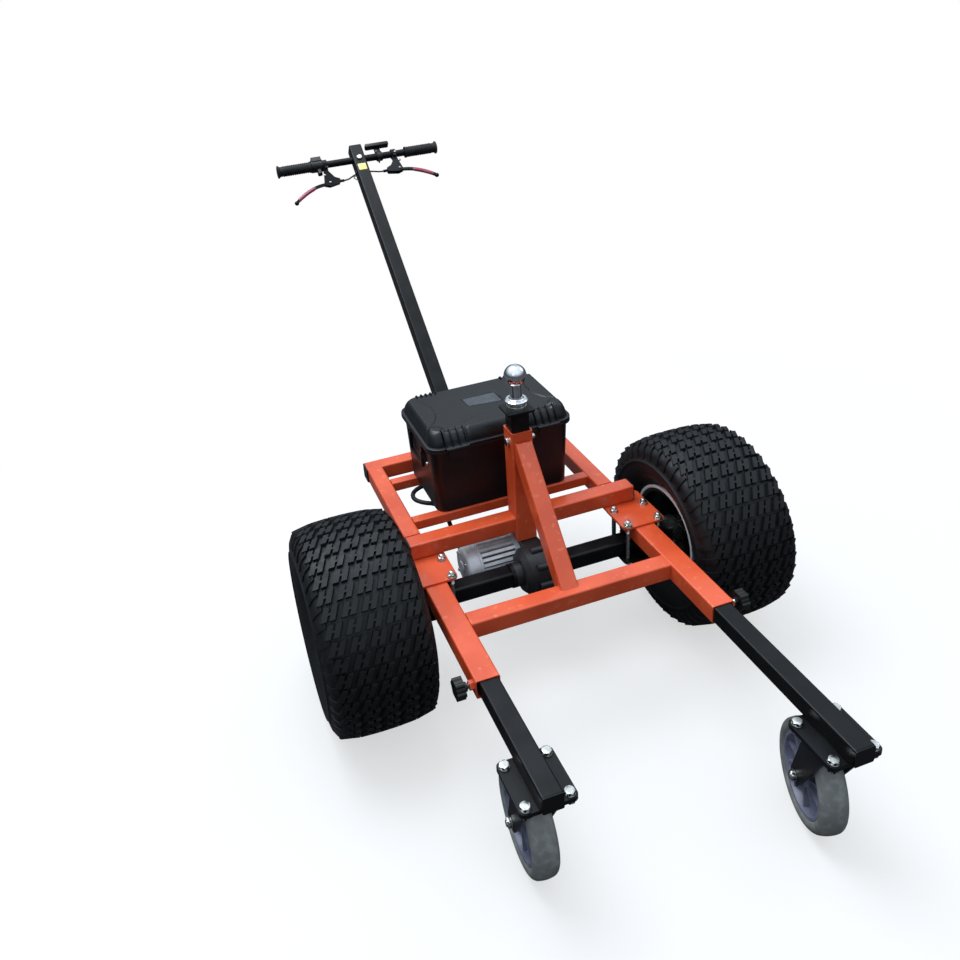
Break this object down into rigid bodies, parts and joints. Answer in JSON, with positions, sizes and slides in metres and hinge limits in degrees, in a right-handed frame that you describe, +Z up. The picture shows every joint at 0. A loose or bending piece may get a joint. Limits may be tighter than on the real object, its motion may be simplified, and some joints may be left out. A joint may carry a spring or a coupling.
{
  "type": "electric trailer dolly",
  "caption": "Electric trailer dolly: orange welded frame, driven turf tyres, telescopic caster legs, tow ball post, battery case and steering handle.",
  "frame": {"origin": "on the ground at the middle of the part's length and width", "axes": "+Z up, +Y to the steering handle, +X to the right seen from the casters"},
  "size_m": [1.086, 1.9788, 1.0313],
  "materials": {
    "frame_orange": "gloss powder coat",
    "tube_black": "satin black paint",
    "chrome_plate": "polished chrome",
    "zinc_steel": "zinc plated",
    "wheel_steel": "silver painted pressed steel",
    "black_casting": "black painted casting",
    "motor_aluminium": "extruded aluminium",
    "tyre_rubber": "black tread rubber",
    "caster_rubber": "dark grey rubber",
    "black_rubber": "soft black rubber",
    "black_plastic": "moulded black plastic",
    "case_plastic": "fine textured charcoal plastic",
    "battery_plastic": "smooth battery case"
  },
  "bodies": {
    "chassis": {"cross_beam": "frame_orange", "side_rails": "frame_orange", "rear_beam": "frame_orange", "case_bearers": "frame_orange", "hitch_post": "frame_orange", "post_brace": "frame_orange", "front_cross_tube": "frame_orange", "leg_arm_left": "frame_orange", "leg_arm_right": "frame_orange", "axle_clamp_plates": "frame_orange", "tube_plugs": "black_plastic", "handle_bracket": "frame_orange", "ball_riser": "tube_black", "tow_ball": "chrome_plate", "ball_fastenings": "zinc_steel", "axle_tubes": "tube_black", "axle_bearings": "zinc_steel", "axle_saddles": "tube_black", "axle_bolts": "zinc_steel", "differential_housing": "black_casting", "drive_motor": "motor_aluminium", "handle_column": "tube_black", "handlebar": "tube_black", "right_grip": "black_rubber", "throttle_housing": "black_plastic", "lever_brackets": "tube_black", "display": "black_plastic", "handle_fasteners": "zinc_steel", "brake_cables": "black_rubber", "case_body": "case_plastic", "case_gasket": "black_rubber", "battery_pack": "battery_plastic", "motor_controller": "motor_aluminium", "power_cable": "black_rubber"},
    "hitch_pin": {"hitch_pin": "zinc_steel"},
    "hitch_clip": {"hitch_pin_clip": "zinc_steel"},
    "throttle_grip": {"throttle_grip": "black_rubber"},
    "case_lid": {"case_lid": "case_plastic"},
    "drive_wheel_left": {"drive_tyre_left": "tyre_rubber", "drive_rim_left": "wheel_steel", "wheel_hub_left": "zinc_steel"},
    "leg_left": {"leg_left": "tube_black", "caster_plate_left": "tube_black"},
    "caster_fork_left": {"caster_fork_left": "tube_black"},
    "caster_wheel_left": {"caster_wheel_left": "caster_rubber"},
    "clamp_knob_left": {"clamp_knob_left": "black_plastic"},
    "brake_lever_left": {"brake_lever_left": "tube_black"},
    "case_latch_left": {"case_latch_left": "case_plastic"},
    "case_handle_left": {"case_handle_left": "case_plastic"},
    "drive_wheel_right": {"drive_tyre_right": "tyre_rubber", "drive_rim_right": "wheel_steel", "wheel_hub_right": "zinc_steel"},
    "leg_right": {"leg_right": "tube_black", "caster_plate_right": "tube_black"},
    "caster_fork_right": {"caster_fork_right": "tube_black"},
    "caster_wheel_right": {"caster_wheel_right": "caster_rubber"},
    "clamp_knob_right": {"clamp_knob_right": "black_plastic"},
    "brake_lever_right": {"brake_lever_right": "tube_black"},
    "case_latch_right": {"case_latch_right": "case_plastic"},
    "case_handle_right": {"case_handle_right": "case_plastic"}
  },
  "joints": [
    {"name": "drive_wheel_left_spin", "type": "hinge", "parent": "chassis", "child": "drive_wheel_left", "pos_m": [-0.424, -0.28237, 0.23], "axis": [1, 0, 0], "continuous": true},
    {"name": "leg_left_slide", "type": "slide", "parent": "chassis", "child": "leg_left", "axis": [0, -1, 0], "range_m": [-0.145, 0.11]},
    {"name": "caster_left_swivel", "type": "hinge", "parent": "leg_left", "child": "caster_fork_left", "pos_m": [-0.2528, -0.81537, 0.2388], "axis": [0, 0, 1], "continuous": true},
    {"name": "caster_wheel_left_spin", "type": "hinge", "parent": "caster_fork_left", "child": "caster_wheel_left", "pos_m": [-0.24954, -0.76046, 0.1], "axis": [0.9982, -0.0593, 0], "continuous": true},
    {"name": "clamp_knob_left_turn", "type": "hinge", "parent": "chassis", "child": "clamp_knob_left", "pos_m": [-0.299, -0.59637, 0.276], "axis": [-1, 0, 0], "range_deg": [0, 720]},
    {"name": "brake_lever_left_pull", "type": "hinge", "parent": "chassis", "child": "brake_lever_left", "pos_m": [-0.136, 0.90479, 0.92153], "axis": [0, 0.8211, -0.5707], "range_deg": [0, 22], "stiffness_Nm_per_rad": 3, "springref_deg": -8.59},
    {"name": "case_latch_left_flip", "type": "hinge", "parent": "case_lid", "child": "case_latch_left", "pos_m": [-0.125, -0.15737, 0.517], "axis": [-1, 0, 0], "range_deg": [0, 100]},
    {"name": "case_handle_left_swing", "type": "hinge", "parent": "chassis", "child": "case_handle_left", "pos_m": [-0.189, -0.03037, 0.488], "axis": [0, 1, 0], "range_deg": [0, 90]},
    {"name": "drive_wheel_right_spin", "type": "hinge", "parent": "chassis", "child": "drive_wheel_right", "pos_m": [0.424, -0.28237, 0.23], "axis": [1, 0, 0], "continuous": true},
    {"name": "leg_right_slide", "type": "slide", "parent": "chassis", "child": "leg_right", "axis": [0, -1, 0], "range_m": [-0.25, 0]},
    {"name": "caster_right_swivel", "type": "hinge", "parent": "leg_right", "child": "caster_fork_right", "pos_m": [0.2528, -0.92337, 0.2388], "axis": [0, 0, 1], "continuous": true},
    {"name": "caster_wheel_right_spin", "type": "hinge", "parent": "caster_fork_right", "child": "caster_wheel_right", "pos_m": [0.26906, -0.87083, 0.1], "axis": [0.9553, -0.2957, 0], "continuous": true},
    {"name": "clamp_knob_right_turn", "type": "hinge", "parent": "chassis", "child": "clamp_knob_right", "pos_m": [0.299, -0.59637, 0.276], "axis": [1, 0, 0], "range_deg": [0, 720]},
    {"name": "brake_lever_right_pull", "type": "hinge", "parent": "chassis", "child": "brake_lever_right", "pos_m": [0.101, 0.89172, 0.93363], "axis": [0, -0.632, 0.7749], "range_deg": [0, 22], "stiffness_Nm_per_rad": 3, "springref_deg": -8.59},
    {"name": "case_latch_right_flip", "type": "hinge", "parent": "case_lid", "child": "case_latch_right", "pos_m": [0.101, -0.15737, 0.517], "axis": [-1, 0, 0], "range_deg": [0, 100]},
    {"name": "case_handle_right_swing", "type": "hinge", "parent": "chassis", "child": "case_handle_right", "pos_m": [0.165, -0.03037, 0.488], "axis": [0, -1, 0], "range_deg": [0, 90]},
    {"name": "throttle_grip_twist", "type": "hinge", "parent": "chassis", "child": "throttle_grip", "pos_m": [-0.228, 0.94131, 0.97408], "axis": [1, 0, 0], "range_deg": [-60, 0], "stiffness_Nm_per_rad": 0.3, "springref_deg": 11.46},
    {"name": "case_lid_open", "type": "hinge", "parent": "chassis", "child": "case_lid", "pos_m": [-0.012, 0.09813, 0.512], "axis": [-1, 0, 0], "range_deg": [0, 110]},
    {"name": "hitch_pin_play", "type": "slide", "parent": "chassis", "child": "hitch_pin", "axis": [1, 0, 0], "range_m": [-0.005, 0]},
    {"name": "hitch_clip_pull", "type": "slide", "parent": "hitch_pin", "child": "hitch_clip", "axis": [0, 0, -1], "range_m": [0, 0.06]}
  ]
}
